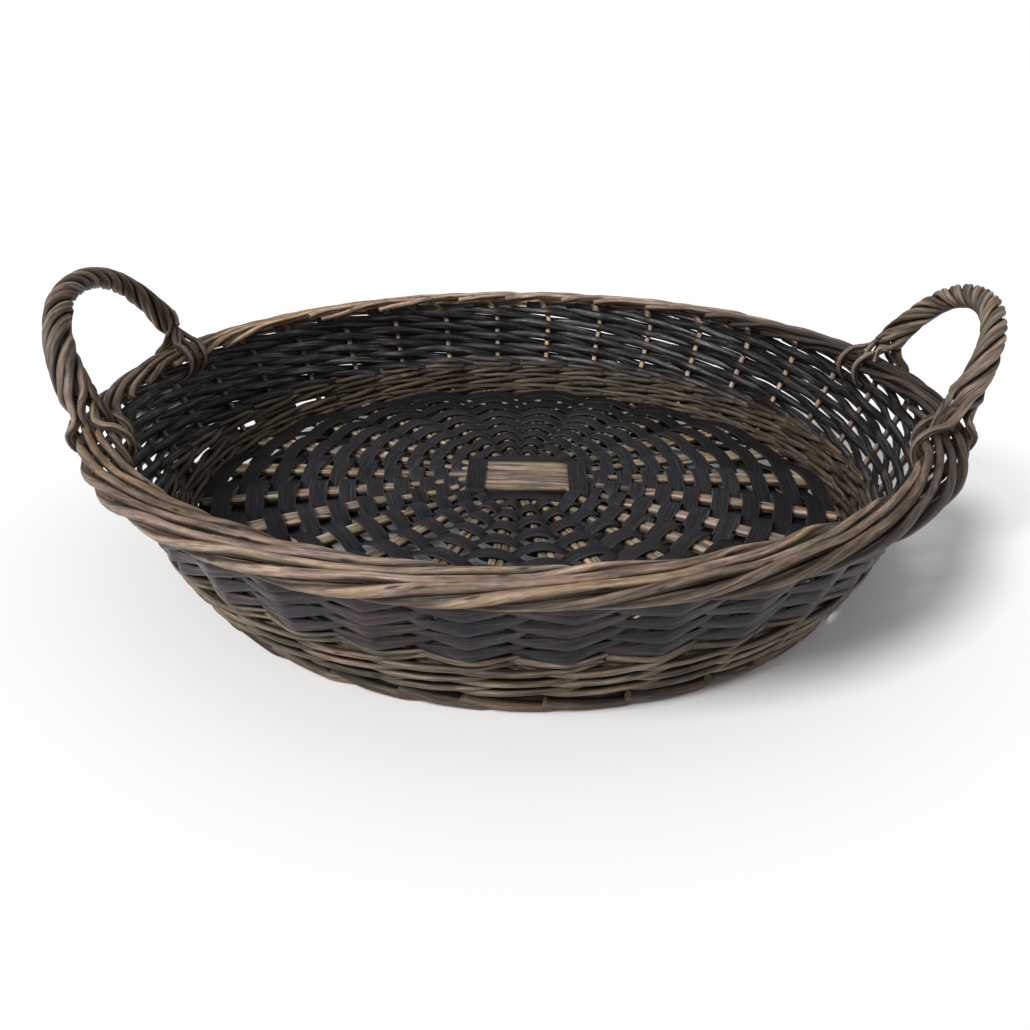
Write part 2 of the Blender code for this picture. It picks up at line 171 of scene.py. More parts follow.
class Weave:
    """Collects rods into one mesh, with their own coordinates for the materials."""

    def __init__(self):
        self.points, self.faces, self.marks = [], [], []
        self.place, self.tone, self.face, self.side = [], [], [], []
        self.count = 0

    def rod(self, path, out, width, thick=None, section=ROUND, tone=None, slant=(0.0, 0.0), round_end=0.3):
        """Add a rod along a path.

        Out is where the top of the section looks, slant cuts each end askew, and round_end is the
        share by which the ends narrow.
        """
        path = np.asarray(path, float)
        out = np.broadcast_to(np.asarray(out, float), path.shape)
        width = np.broadcast_to(np.asarray(width, float), len(path)).copy()
        thick = width if thick is None else np.broadcast_to(np.asarray(thick, float), len(path)).copy()
        tone = chance.random() if tone is None else tone
        run = np.gradient(path, axis=0)
        run /= np.linalg.norm(run, axis=1)[:, None]
        tip = min(TIP_LIMIT, TIP_SHARE * width.mean())
        path = np.vstack([path[:1] - run[:1] * tip, path, path[-1:] + run[-1:] * tip])
        run = np.vstack([run[:1], run, run[-1:]])
        out = np.vstack([out[:1], out, out[-1:]])
        width = np.concatenate([width[:1] * (1 - round_end), width, width[-1:] * (1 - round_end)])
        thick = np.concatenate([thick[:1] * (1 - round_end), thick, thick[-1:] * (1 - round_end)])
        out = out - run * (out * run).sum(1)[:, None]
        out /= np.linalg.norm(out, axis=1)[:, None]
        across = np.cross(run, out)
        x, y = section[:, 0], section[:, 1]
        wide = x[None] * width[:, None] / 2
        deep = y[None] * thick[:, None] / 2
        rings = path[:, None] + across[:, None] * wide[..., None] + out[:, None] * deep[..., None]
        for end, amount in ((slice(0, 2), slant[0]), (slice(-2, None), slant[1])):
            rings[end] += run[end][:, None] * (wide[end] * amount)[..., None]
        along = np.concatenate([[0], np.cumsum(np.linalg.norm(np.diff(path, axis=0), axis=1))])
        along = np.broadcast_to((along + chance.uniform(0, GRAIN_STRETCH))[:, None], wide.shape)
        n, k = len(path), len(section)
        index = self.count + np.arange(n * k).reshape(n, k)
        after = np.roll(index, -1, axis=1)
        quads = np.stack([index[:-1], after[:-1], after[1:], index[1:]], -1).reshape(-1, 4)
        self.faces += quads.tolist() + [index[0][::-1].tolist(), index[-1].tolist()]
        self.marks += [0] * len(quads) + [1, 1]
        self.points.append(rings.reshape(-1, 3))
        self.place.append(np.stack([wide, deep, along], -1).reshape(-1, 3))
        self.face.append(np.broadcast_to(y, wide.shape).reshape(-1))
        self.side.append(np.broadcast_to(np.abs(x), wide.shape).reshape(-1))
        self.tone.append(np.full(n * k, tone))
        self.count += n * k

    def piece(self, name, node, slot, material, cut, sharp=50.0):
        """Make the mesh, with a second material on the cut ends, and hide the CAD part that it stands for."""
        mesh = bpy.data.meshes.new(name)
        points = np.vstack(self.points)
        points[:, 2] *= 1 + RIM_RISE * points[:, 0] / RIM_RADIUS
        mesh.from_pydata(points.tolist(), [], self.faces)
        mesh.materials.append(material)
        mesh.materials.append(cut)
        mesh.polygons.foreach_set("material_index", self.marks)
        for label, kind, rows in (("rod_place", "FLOAT_VECTOR", self.place), ("rod_tone", "FLOAT", self.tone),
                                  ("rod_face", "FLOAT", self.face), ("rod_side", "FLOAT", self.side)):
            layer = mesh.attributes.new(label, kind, "POINT")
            values = np.concatenate(rows).astype(np.float32).ravel()
            layer.data.foreach_set("vector" if kind == "FLOAT_VECTOR" else "value", values)
        mesh.shade_smooth()
        mesh.set_sharp_from_angle(angle=math.radians(sharp))
        mesh.update()
        item = bpy.data.objects.new(name, mesh)
        bpy.context.scene.collection.objects.link(item)
        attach(item, "root")
        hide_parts(node)


# ---- Materials ----

class Shade:
    """A node material and short calls to add its nodes."""

    def __init__(self, name, roughness):
        self.material = bpy.data.materials.new(name)
        self.material.use_nodes = True
        self.nodes = self.material.node_tree.nodes
        self.links = self.material.node_tree.links
        self.shader = self.nodes["Principled BSDF"]
        self.shader.inputs["Roughness"].default_value = roughness

    def add(self, kind, links=None, **values):
        """Add a node: links by an input's name or number, in_N for the value of input N, and settings."""
        node = self.nodes.new(kind)
        for key, value in values.items():
            if key.startswith("in_"):
                node.inputs[int(key[3:])].default_value = value
            else:
                setattr(node, key, value)
        for key, source in (links or {}).items():
            self.links.new(source, node.inputs[key])
        return node

    def mark(self, name, output="Fac"):
        """A value that Weave.rod stores at each point."""
        return self.add("ShaderNodeAttribute", attribute_name=name).outputs[output]

    def noise(self, vector, scales, detail=4.0, rough=0.6, shift=(0, 0, 0)):
        placed = self.add("ShaderNodeMapping", {0: vector}, in_1=shift, in_3=scales)
        node = self.add("ShaderNodeTexNoise", {"Vector": placed.outputs[0]}, in_2=1.0, in_3=detail, in_4=rough)
        return node.outputs[0]

    def ramp(self, source, stops):
        node = self.add("ShaderNodeValToRGB", {0: source})
        elements = node.color_ramp.elements
        elements[0].position, elements[0].color = stops[0][0], (*stops[0][1], 1)
        elements[1].position, elements[1].color = stops[-1][0], (*stops[-1][1], 1)
        for place, colour in stops[1:-1]:
            elements.new(place).color = (*colour, 1)
        return node.outputs[0]

    def grey(self, source, low, high, start=0.0, end=1.0):
        """Level that goes from low to high while the source goes from start to end."""
        node = self.add("ShaderNodeMapRange", {0: source}, in_1=start, in_2=end, in_3=low, in_4=high)
        return node.outputs[0]

    def mix(self, kind, factor, first, second):
        node = self.add("ShaderNodeMix", data_type="RGBA", blend_type=kind)
        for place, value in ((0, factor), (6, first), (7, second)):
            if isinstance(value, bpy.types.NodeSocket):
                self.links.new(value, node.inputs[place])
            else:
                node.inputs[place].default_value = value if isinstance(value, float) else (*value, 1)
        return node.outputs[2]

    def maths(self, kind, first, second=0.0):
        node = self.add("ShaderNodeMath", operation=kind)
        for place, value in ((0, first), (1, second)):
            if isinstance(value, bpy.types.NodeSocket):
                self.links.new(value, node.inputs[place])
            else:
                node.inputs[place].default_value = value
        return node.outputs[0]

    def product(self, level, *others):
        for other in others:
            level = self.maths("MULTIPLY", level, other)
        return level

    def dim(self, colour, level):
        """The colour times a grey level."""
        grey = self.add("ShaderNodeCombineColor", {0: level, 1: level, 2: level})
        return self.mix("MULTIPLY", 1.0, colour, grey.outputs[0])

    def sheen(self, source, rough, smooth, specular):
        """Roughness that goes by a source, with an even specular level."""
        self.links.new(self.grey(source, rough, smooth, 0.3, 0.7), self.shader.inputs["Roughness"])
        self.shader.inputs["Specular IOR Level"].default_value = specular

    def finish(self, colour, bump, distance, strength):
        self.links.new(colour, self.shader.inputs["Base Color"])
        node = self.add("ShaderNodeBump", {"Height": bump}, in_0=strength, in_1=distance)
        self.links.new(node.outputs[0], self.shader.inputs["Normal"])
        return self.material


# Tints by which rods differ, and the grey streaks with painted highlights on the inside of the split rods
TINTS = [(0.0, (1.12, 0.96, 0.93)), (0.3, (0.95, 1.0, 0.98)), (0.55, (1.1, 1.0, 0.84)),
         (0.8, (0.95, 0.95, 1.05)), (1.0, (1.0, 0.97, 0.9))]
DARK_TINTS = [(0.0, (1.22, 0.94, 0.98)), (0.25, (0.86, 0.94, 1.14)), (0.45, (1.1, 0.92, 1.1)),
              (0.7, (0.94, 0.98, 1.07)), (1.0, (1.32, 1.03, 0.86))]
TINT_TURNS = 7.3
GREY_STREAKS_AND_HIGHLIGHTS = [(0.38, (0.004, 0.004, 0.0043)), (0.5, (0.014, 0.0136, 0.0136)), (0.62, (0.125, 0.122, 0.117))]


def bark(name, dark, middle, light, warm, roughness, crevice_shade, knots=0.09, levels=(0.55, 1.35),
         specular=0.35, inside_shade=1.0, tints=TINTS, edge=None, inside_grey_and_highlight=0.0):
    """Willow bark: fine streaks along the rod, blotches, dark knots, and painted shade where rods meet.

    One level sets the painted shade at a rod's sides, levels go by its tone, and another sets the painted
    shade on the faces that look into the basket. The split rods have painted highlights on their edges,
    and grey streaks with painted highlights on those faces.
    """
    shade = Shade(name, roughness)
    place, tone, face = shade.mark("rod_place", "Vector"), shade.mark("rod_tone"), shade.mark("rod_face")
    streak = shade.noise(place, (620, 620, 34), 5.0, 0.65)
    fine = shade.noise(place, (1500, 1500, 160), 3.0, 0.6, (3, 1, 7))
    blotch = shade.noise(place, (90, 90, 21), 3.0, 0.55, (5, 9, 2))
    colour = shade.ramp(streak, [(0.34, dark), (0.5, middle), (0.68, light)])
    colour = shade.mix("MIX", shade.grey(blotch, 0.0, 0.75, 0.5, 0.72), colour, warm)
    tint = shade.ramp(shade.maths("FRACT", shade.maths("MULTIPLY", tone, TINT_TURNS)), tints)
    colour = shade.mix("MULTIPLY", 1.0, colour, tint)
    # Grey streaks on the faces that look into the basket; the pale streaks are painted highlights
    if inside_grey_and_highlight:
        inside = shade.grey(face, inside_grey_and_highlight, 0.0, -0.5, 0.1)
        colour = shade.mix("MIX", inside, colour, shade.ramp(streak, GREY_STREAKS_AND_HIGHLIGHTS))
    # Painted highlights along the edges of the split rods
    if edge:
        colour = shade.mix("MIX", shade.grey(shade.mark("rod_side"), 0.0, 0.8, 0.8, 1.0), colour, edge)
    spots = shade.add("ShaderNodeMapping", {0: place}, in_3=(150, 150, 42))
    cell = shade.add("ShaderNodeTexVoronoi", {"Vector": spots.outputs[0]}, in_2=1.0)
    knot = shade.grey(cell.outputs["Distance"], 0.25, 1.0, knots, knots * 2.0)
    colour = shade.dim(colour, shade.product(
        shade.grey(blotch, 0.55, 1.15, 0.3, 0.55),
        shade.grey(tone, *levels),
        # Painted shade at the rod's sides, where it lies against its neighbours
        shade.grey(shade.maths("ABSOLUTE", face), crevice_shade, 1.0, 0.05, 0.72),
        # Painted shade on the faces that look into the basket
        shade.grey(face, inside_shade, 1.0, -0.5, 0.3),
        shade.grey(fine, 0.68, 1.32, 0.32, 0.68),
        knot))
    height = shade.maths("ADD", shade.maths("MULTIPLY", streak, 0.6), shade.maths("MULTIPLY", fine, 0.4))
    height = shade.maths("ADD", height, shade.maths("MULTIPLY", knot, -0.5))
    shade.sheen(streak, roughness + 0.12, roughness - 0.1, specular)
    return shade.finish(colour, height, 0.0008, 0.7)


def strip(name, dark, light, warm, roughness=0.5):
    """Dyed chip: long parallel fibres, worn paler along some of them, with painted highlights at its edges."""
    shade = Shade(name, roughness)
    place = shade.mark("rod_place", "Vector")
    fibre = shade.noise(place, (2100, 300, 26), 4.0, 0.7)
    blotch = shade.noise(place, (120, 120, 30), 3.0, 0.6, (2, 5, 8))
    colour = shade.ramp(fibre, [(0.34, dark), (0.56, light), (0.72, warm)])
    tint = shade.ramp(shade.grey(blotch, 0.0, 1.0, 0.35, 0.65), DARK_TINTS)
    colour = shade.mix("MULTIPLY", 1.0, colour, tint)
    # Painted highlights along the strip's edges
    edge = shade.grey(shade.mark("rod_side"), 0.0, 0.7, 0.9, 1.0)
    colour = shade.mix("MIX", edge, colour, (0.055, 0.055, 0.05))
    level = shade.product(shade.grey(fibre, 0.45, 1.6, 0.3, 0.7), shade.grey(shade.mark("rod_tone"), 0.6, 1.45))
    shade.sheen(fibre, roughness + 0.15, roughness - 0.12, 0.2)
    return shade.finish(shade.dim(colour, level), fibre, 0.0005, 0.5)


def cut_wood(name, pale, dark):
    """Cut end of a rod."""
    shade = Shade(name, 0.75)
    grain = shade.noise(shade.mark("rod_place", "Vector"), (1400, 1400, 1400), 3.0, 0.6)
    return shade.finish(shade.ramp(grain, [(0.3, dark), (0.65, pale)]), grain, 0.0004, 0.4)


# In each bark the last plain number is the level of painted shade at the rods' sides, and a level for faces that
# look into the basket is painted shade too; the side rods' edge colour and grey streaks are painted highlights.
border_bark = bark("border_bark", (0.095, 0.062, 0.046), (0.26, 0.185, 0.138), (0.50, 0.39, 0.30),
                   (0.36, 0.235, 0.13), 0.5, 0.12, levels=(0.1, 1.5))
wale_bark = bark("wale_bark", (0.04, 0.03, 0.021), (0.13, 0.1, 0.07), (0.32, 0.26, 0.195),
                 (0.18, 0.115, 0.07), 0.52, 0.08, inside_shade=0.42)
foot_bark = bark("foot_bark", (0.03, 0.022, 0.016), (0.085, 0.065, 0.05), (0.22, 0.175, 0.135),
                 (0.13, 0.08, 0.05), 0.55, 0.15)
side_bark = bark("side_bark", (0.006, 0.005, 0.0065), (0.022, 0.018, 0.022), (0.075, 0.066, 0.073),
                 (0.055, 0.028, 0.023), 0.34, 0.5, knots=0.07, levels=(0.5, 2.2), specular=0.3,
                 inside_shade=0.68, tints=DARK_TINTS, edge=(0.05, 0.048, 0.049), inside_grey_and_highlight=0.85)
stick_bark = bark("stick_bark", (0.085, 0.062, 0.046), (0.26, 0.202, 0.152), (0.54, 0.445, 0.335),
                  (0.34, 0.235, 0.13), 0.62, 0.12)
handle_bark = bark("handle_bark", (0.04, 0.03, 0.022), (0.135, 0.1, 0.075), (0.32, 0.255, 0.2),
                   (0.18, 0.115, 0.08), 0.48, 0.07)
bow_bark = bark("bow_bark", (0.03, 0.028, 0.025), (0.09, 0.085, 0.078), (0.2, 0.195, 0.185),
                (0.12, 0.1, 0.085), 0.55, 0.5)
chip_fibre = strip("chip_fibre", (0.003, 0.003, 0.0033), (0.013, 0.0135, 0.014), (0.04, 0.039, 0.037))
pale_cut = cut_wood("pale_cut", (0.36, 0.27, 0.17), (0.15, 0.1, 0.06))
dull_cut = cut_wood("dull_cut", (0.16, 0.12, 0.085), (0.05, 0.038, 0.028))


# ---- Stakes with their border strands ----

# A strand passes this many stakes while it goes this far round the border's loop
REACH = 6
STRAND = 0.0364
STRAND_SIZE, STAKE_SIZE, CAD_STAKE_SIZE = 0.0061, 0.0045, 0.0046
STRAND_STEPS = 30
STRAND_START = 0.0085
STAKE_LINE = ((0.0075, -0.0035), (0.02, -0.0008), (0.036, 0), (0.052, 0), (0.069, 0), (0.083, 0))

# Painted light and shade on the border, partly its rods' own tone: how light it is, by the direction in degrees of
# the middle of a strand
HALF_STRAND = 42
LIGHT_AT = [0, 25, 60, 95, 140, 180, 225, 270, 300, 330, 360]
BORDER_PAINTED_LIGHT_AND_TONE = [0, 0.07, 0.66, 1.3, 0.82, 0.28, 0.4, 0.68, 0.45, 0.05, 0]


def build_stake(number):
    weave = Weave()
    size = STRAND_SIZE * chance.uniform(0.86, 1.08)
    start = number * SPACING
    keys = [[*wall_point(start, height, off), *-wall_out(start), STAKE_SIZE] for height, off in STAKE_LINE]
    middle = (math.degrees(start) + HALF_STRAND) % 360
    # The ends show at the back, and are tucked in elsewhere
    extra = chance.uniform(-0.5, 0.7) if 30 < middle < 200 else chance.uniform(0.25, 1.1)
    # Painted light and shade by direction round the border, partly the rods' own tone, with a random spread
    tone = np.interp(middle, LIGHT_AT, BORDER_PAINTED_LIGHT_AND_TONE) + chance.uniform(-0.09, 0.09)
    wander = drift(STRAND_STEPS, 0.0013, 1.6)
    lift = drift(STRAND_STEPS, 0.0006, 2.6)
    for i, share in enumerate(np.linspace(0.02, 1 + extra / REACH, STRAND_STEPS)):
        grow = lift[i] + (size - CAD_STAKE_SIZE) * 0.25
        radius, height, nr, nz = loop_place(STRAND * share + wander[i] * share, grow)
        angle = start + (share * REACH) * SPACING + STRAND_START * (1 - share)
        taper = 1 - 0.22 * share
        keys.append([*ring_point(angle, radius, height), *ring_point(angle, nr, nz), size * taper])
    rows = spline(keys, 0.0035)
    weave.rod(rows[:, :3], rows[:, 3:6], rows[:, 6], tone=tone)
    name = f"stake_{number + 1:02d}"
    weave.piece(f"rod_{name}", name, "stake_willow", border_bark, dull_cut)


for stake in range(STAKES):
    build_stake(stake)


# ---- Side: split rods, each started at its own stake ----

# A split rod starts low and climbs at each stake, tilted more where it passes outside
SIDE_LOW, SIDE_RISE, SIDE_OFF = 0.0472, 0.0050, 0.0043
SIDE_THICKNESS = 0.0033
TILT_OUTSIDE, TILT_INSIDE = math.radians(26), math.radians(6)
# Directions in which the rods are narrowest, and darkest under painted shade
NARROWEST, PAINTED_SHADE_AT = 0.1, 5.9


def swing(u, sharp=0.997):
    """Inside at even stakes (+1) and outside at odd ones (-1), nearly straight between them."""
    return np.arcsin(sharp * np.cos(math.pi * u)) / math.asin(sharp)


def build_side(name, node, first):
    weave = Weave()
    for start in range(first, STAKES, 2):
        end = chance.uniform(9.3, 9.6)
        u = np.linspace(-chance.uniform(0.44, 0.56), end, 264)
        inside = swing(u)
        angle = (start + u) * SPACING
        height = SIDE_LOW + SIDE_RISE * u + drift(len(u), 0.0006, 4)
        off = -SIDE_OFF * inside + drift(len(u), 0.0003, 5)
        out = wall_out(angle, TILT_OUTSIDE * np.clip(-inside, 0, 1) - TILT_INSIDE * np.clip(inside, 0, 1))
        between = 1 - np.abs(inside)
        size = chance.uniform(0.92, 1.05)
        width = size * np.where(inside > 0, 0.0071 - 0.0003 * between, 0.0076 - 0.0014 * between)
        width = width * np.interp(u, [0, 8.8, 9.5], [1, 1, 0.75])
        width = width * (1 - 0.12 * np.clip(np.cos(angle - NARROWEST), 0, 1))
        thick = size * SIDE_THICKNESS * np.interp(u, [0, 9], [1.05, 0.9])
        # Random tone, with painted shade that darkens the rods on one side of the basket
        tone = chance.random() * (0.62 - 0.38 * math.cos((start + 4.5) * SPACING - PAINTED_SHADE_AT))
        weave.rod(wall_point(angle, height, off), out, width, thick, SPLIT, tone)
    weave.piece(name, node, "side_willow", side_bark, dull_cut, 42)


build_side("split_rods_even", "side_band_a", 0)
build_side("split_rods_odd", "side_band_b", 1)


# ---- Waling: three rods woven together, outside two stakes and inside the third ----

# Share of the rise and way off the wall over the three stakes of a stroke
WALE_OFF = 0.0048
PHASE = np.array([0, 0.5, 1, 1.5, 2, 2.5, 3])
PHASE_RISE = np.array([0.5, 0.1, 0.1, 0.45, 0.85, 0.9, 0.5])
PHASE_OFF = np.array([-1, -0.1, 1, 1.12, 1, -0.1, -1])
PAIR_OFF = 0.0029
HALF_OFF, HALF_SIZE = 0.0044, 0.0043


def wale_path(u, join, low, pitch):
    """Heights and ways off the wall, for a rod that passes inside at the stake of its join."""
    phase = (u - join) % 3
    rise = np.interp(phase, PHASE, PHASE_RISE)
    off = np.interp(phase, PHASE, PHASE_OFF)
    kernel = np.array([1, 3, 4, 3, 1]) / 12
    rise, off = (np.convolve(np.pad(v, 2, "edge"), kernel, "valid") for v in (rise, off))
    return low + pitch * rise, WALE_OFF * off


def wale_round(weave, low, pitch, size, cycles):
    """One round of the wale in short lengths, each with its butt inside a stake."""
    for start in range(0, STAKES, 1 if cycles == 1 else 3 * cycles):
        for join in range(1 if cycles == 1 else 3):
            first = start + join - chance.uniform(0.2, 0.36)
            last = start + join + 3 * cycles + chance.uniform(0.05, 0.2)
            u = np.linspace(first, last, int((last - first) * 14))
            height, off = wale_path(u, start + join, low, pitch)
            height = height + drift(len(u), 0.0005, 1 + cycles)
            width = size * chance.uniform(0.92, 1.06) * np.linspace(1.06, 0.84, len(u))
            angle = u * SPACING
            weave.rod(wall_point(angle, height, off), wall_out(angle), width)


def pairing(weave, height, size, spans=((0, 17.2), (17, 34.2)), turns=(0, 1)):
    """Thin rods woven in opposite turns, behind the gap between two rounds."""
    for turn in turns:
        for first, last in spans:
            u = np.linspace(first - 0.3, last - 0.4 * turn, 320)
            rise = height + drift(len(u), 0.0004, 9)
            off = (PAIR_OFF if turn else -PAIR_OFF) * swing(u, 0.9)
            weave.rod(wall_point(u * SPACING, rise, off), wall_out(u * SPACING), size)


def half_rods(weave):
    """A short rod at each stake, on which the side starts."""
    for start in range(STAKES):
        first = -chance.uniform(0.22, 0.36)
        u = np.linspace(first, chance.uniform(1.45, 1.62), 34)
        angle = (start + u) * SPACING
        height = np.interp(u, [-0.4, 0, 1, 1.6], [0.0432, 0.0434, 0.0456, 0.0472]) + drift(len(u), 0.0004, 1)
        off = -HALF_OFF * swing(u, 0.9)
        width = HALF_SIZE * chance.uniform(0.92, 1.06) * np.interp(u, [0, 1.0, 1.6], [1.05, 1, 0.5])
        weave.rod(wall_point(angle, height, off), wall_out(angle), width)


foot_wale = Weave()
wale_round(foot_wale, 0.0206, 0.0045, 0.0047, 2)
pairing(foot_wale, 0.0183, 0.0036)
pairing(foot_wale, 0.0269, 0.0040)
foot_wale.piece("foot_waling", "foot_wale", "wale_willow", wale_bark, pale_cut)

# At the left, the thin rods over each of these rounds leave gaps open
upsett = Weave()
wale_round(upsett, 0.0292, 0.0044, 0.0046, 2)
wale_round(upsett, 0.0374, 0.0044, 0.0044, 1)
pairing(upsett, 0.0354, 0.0040, ((20.6, 34.2), (34, 46.8)))
pairing(upsett, 0.0354, 0.0036, ((13.9, 14.6), (15.4, 16.1), (17.0, 17.7), (18.7, 20.1)), (0,))
pairing(upsett, 0.0421, 0.0037, ((21, 33.2), (34, 46.2)))
half_rods(upsett)
upsett.piece("upsett_waling", "upsett_wale", "wale_willow", wale_bark, pale_cut)


# ---- Foot border ----

FOOT_SIZE = 0.0064
FOOT_TUCK = 0.0022


def build_foot():
    weave = Weave()
    for place in [i + chance.uniform(-0.14, 0.14) for i in range(STAKES)]:
        long = chance.uniform(2.05, 2.45)
        u = np.linspace(0, long, 34)
        size = FOOT_SIZE * chance.uniform(0.9, 1.04)
        tuck = FOOT_TUCK * max(0.0, -math.cos(place * SPACING))
        radius = np.interp(u, [0, 0.4, 1.0, 1.5, 2.1], [0.2203 - 2 * tuck, 0.2198 - tuck, 0.2180, 0.2140, 0.2110])
        raised = chance.uniform(0.0025, 0.0062)
        height = size / 2 + np.interp(u, [0, 0.5, 1.0, 2.1], [raised, 0.0022, 0.0003, 0.0004])
        angle = (place + u) * SPACING
        width = size * np.interp(u, [0, 2], [1.0, 0.85])
        weave.rod(ring_point(angle, radius, height), ring_point(angle, 1.0, 0.0), width,
                  slant=(chance.uniform(-0.9, -0.2), 0.0), round_end=0.12)
    weave.piece("foot_rods", "foot_border", "foot_willow", foot_bark, pale_cut, 40)


build_foot()


# ---- Base ----

BASE_END = 0.2172
BASE_LEVEL, BASE_CROWN, CROWN_RADIUS = 0.0235, 0.0085, 0.2147
SPOKES = 24

# The sticks lie in two layers where they cross, then spread as spokes with thin rods beside them
STICK_PITCH = 0.0085
LAYER_LEVEL = 0.00265
STICK_THICKNESS, SPOKE_THICKNESS = 0.0050, 0.0049
SLATH_KEYS = ((0, 0.92, 1, 0.0077), (0.026, 0.92, 1, 0.0077), (0.034, 0.94, 0.75, 0.0062))
SPOKE_RADII = (0.058, 0.1, 0.15, BASE_END)
SPOKE_SIZE = 0.0051
THIN_ASIDE = 0.0050


def base_height(radius):
    return BASE_LEVEL + BASE_CROWN * (1 - (np.asarray(radius) / CROWN_RADIUS) ** 2)


def turned(points, turn):
    c, s = math.cos(turn), math.sin(turn)
    points = np.array(points, float)
    x, y = points[:, 0].copy(), points[:, 1].copy()
    points[:, 0], points[:, 1] = c * x - s * y, s * x + c * y
    return points


def spoke_rod(weave, angle, aside, first, last, size, turn, tone):
    """A rod beside a spoke, pointed where it starts between the strips."""
    radius = np.linspace(first, last, 24)
    swerve = np.interp(radius, [first, first + 0.018], [aside * 0.55, aside])
    at = angle + swerve / radius
    height = base_height(radius) - np.interp(radius, [first, first + 0.012], [0.0015, 0.0]) + drift(24, 0.0002, 2)
    width = size * np.interp(radius, [first, first + 0.02], [0.55, 1.0])
    weave.rod(turned(ring_point(at, radius, height), turn), (0, 0, 1), width, tone=tone)


def build_stick(word, number):
    layer = 0 if word == "upper" else 1
    order = number - 3.5
    turn = layer * math.pi / 2
    level = LAYER_LEVEL * (1 if layer == 0 else -1)
    weave = Weave()
    aside = order * STICK_PITCH
    spoke = order * TAU / SPOKES
    tone = chance.uniform(0.05, 0.4)
    halves = []
    for side in (1, -1):
        keys = [[x, aside * share, base_height(x) + level * lift, size, STICK_THICKNESS]
                for x, share, lift, size in SLATH_KEYS]
        for radius in SPOKE_RADII:
            keys.append([*ring_point(spoke, radius, base_height(radius)), SPOKE_SIZE, SPOKE_THICKNESS])
        rows = spline(keys, 0.005)
        rows[:, 0] *= side
        halves.append(rows)
    rows = np.vstack([halves[1][:0:-1], halves[0]])
    rows[:, 1] += np.interp(np.abs(rows[:, 0]), [0, 0.03, 0.05], [1, 1, 0]) * drift(len(rows), 0.0004, 6)
    weave.rod(turned(rows[:, :3], turn), (0, 0, 1), rows[:, 3], rows[:, 4], STICK, tone)
    for side in (1, -1):
        angle = spoke if side == 1 else math.pi - spoke
        place = chance.choice([1, -1]) * THIN_ASIDE
        spoke_rod(weave, angle, place, chance.uniform(0.074, 0.088), BASE_END - chance.uniform(0, 0.004),
                  0.0050, turn, chance.uniform(0.35, 1.0))
        if chance.random() > 0.25:
            spoke_rod(weave, angle, -place, chance.uniform(0.118, 0.142), BASE_END - chance.uniform(0, 0.006),
                      0.0047, turn, chance.uniform(0.35, 1.0))
    node = f"base_stick_{word}_{number}"
    weave.piece(f"spokes_{word}_{number}", node, "stick_willow", stick_bark, dull_cut, 60)


for stick in range(1, 7):
    build_stick("upper", stick)
    build_stick("lower", stick)


# Two strips spiral outwards, half a turn apart, with rows that grow wider
CHIP_FIRST, CHIP_LAST, CHIP_TURNS = 0.0402, 0.2164, 9.15
CHIP_PITCH, CHIP_GROWTH = 0.0158, 0.000378
CHIP_WIDTH, CHIP_THICKNESS = 0.0108, 0.00085
CHIP_WIDTH_AT, CHIP_WIDTH_SHARE = [0.04, 0.1, 0.17, 0.21], [0.9, 1, 1.05, 1.14]
CHIP_SAMPLES = 16
CHIP_LENGTH = CHIP_SAMPLES * SPOKES * 3 + 40
CHIP_OVERLAP = 3

# The crossed sticks are framed by four strips, given as half of each: way along and height
SLATH_MIDDLE = 0.0047
FRAME_THICKNESS = 0.0009
OVER_SIDE, OVER_WIDTH = 0.0349, 0.0128
OVER_HALF = ((-0.0280, -0.0015), (-0.0262, 0.0042), (-0.0215, 0.0062), (-0.01, 0.0065))
ACROSS_SIDE, ACROSS_WIDTH, ACROSS_RAISED = 0.0285, 0.0112, 0.0028
ACROSS_END = (-0.0310, -0.0035)
ACROSS_HALF = ((-0.0280, -0.0005), (-0.0235, 0.0010), (-0.01, 0.0020))


def mirrored(half):
    return [*half, *((-way, height) for way, height in half[::-1])]


def frame_strip(weave, points, width):
    weave.rod(spline(points, 0.003), (0, 0, 1), width, FRAME_THICKNESS, FLAT, round_end=0.05)


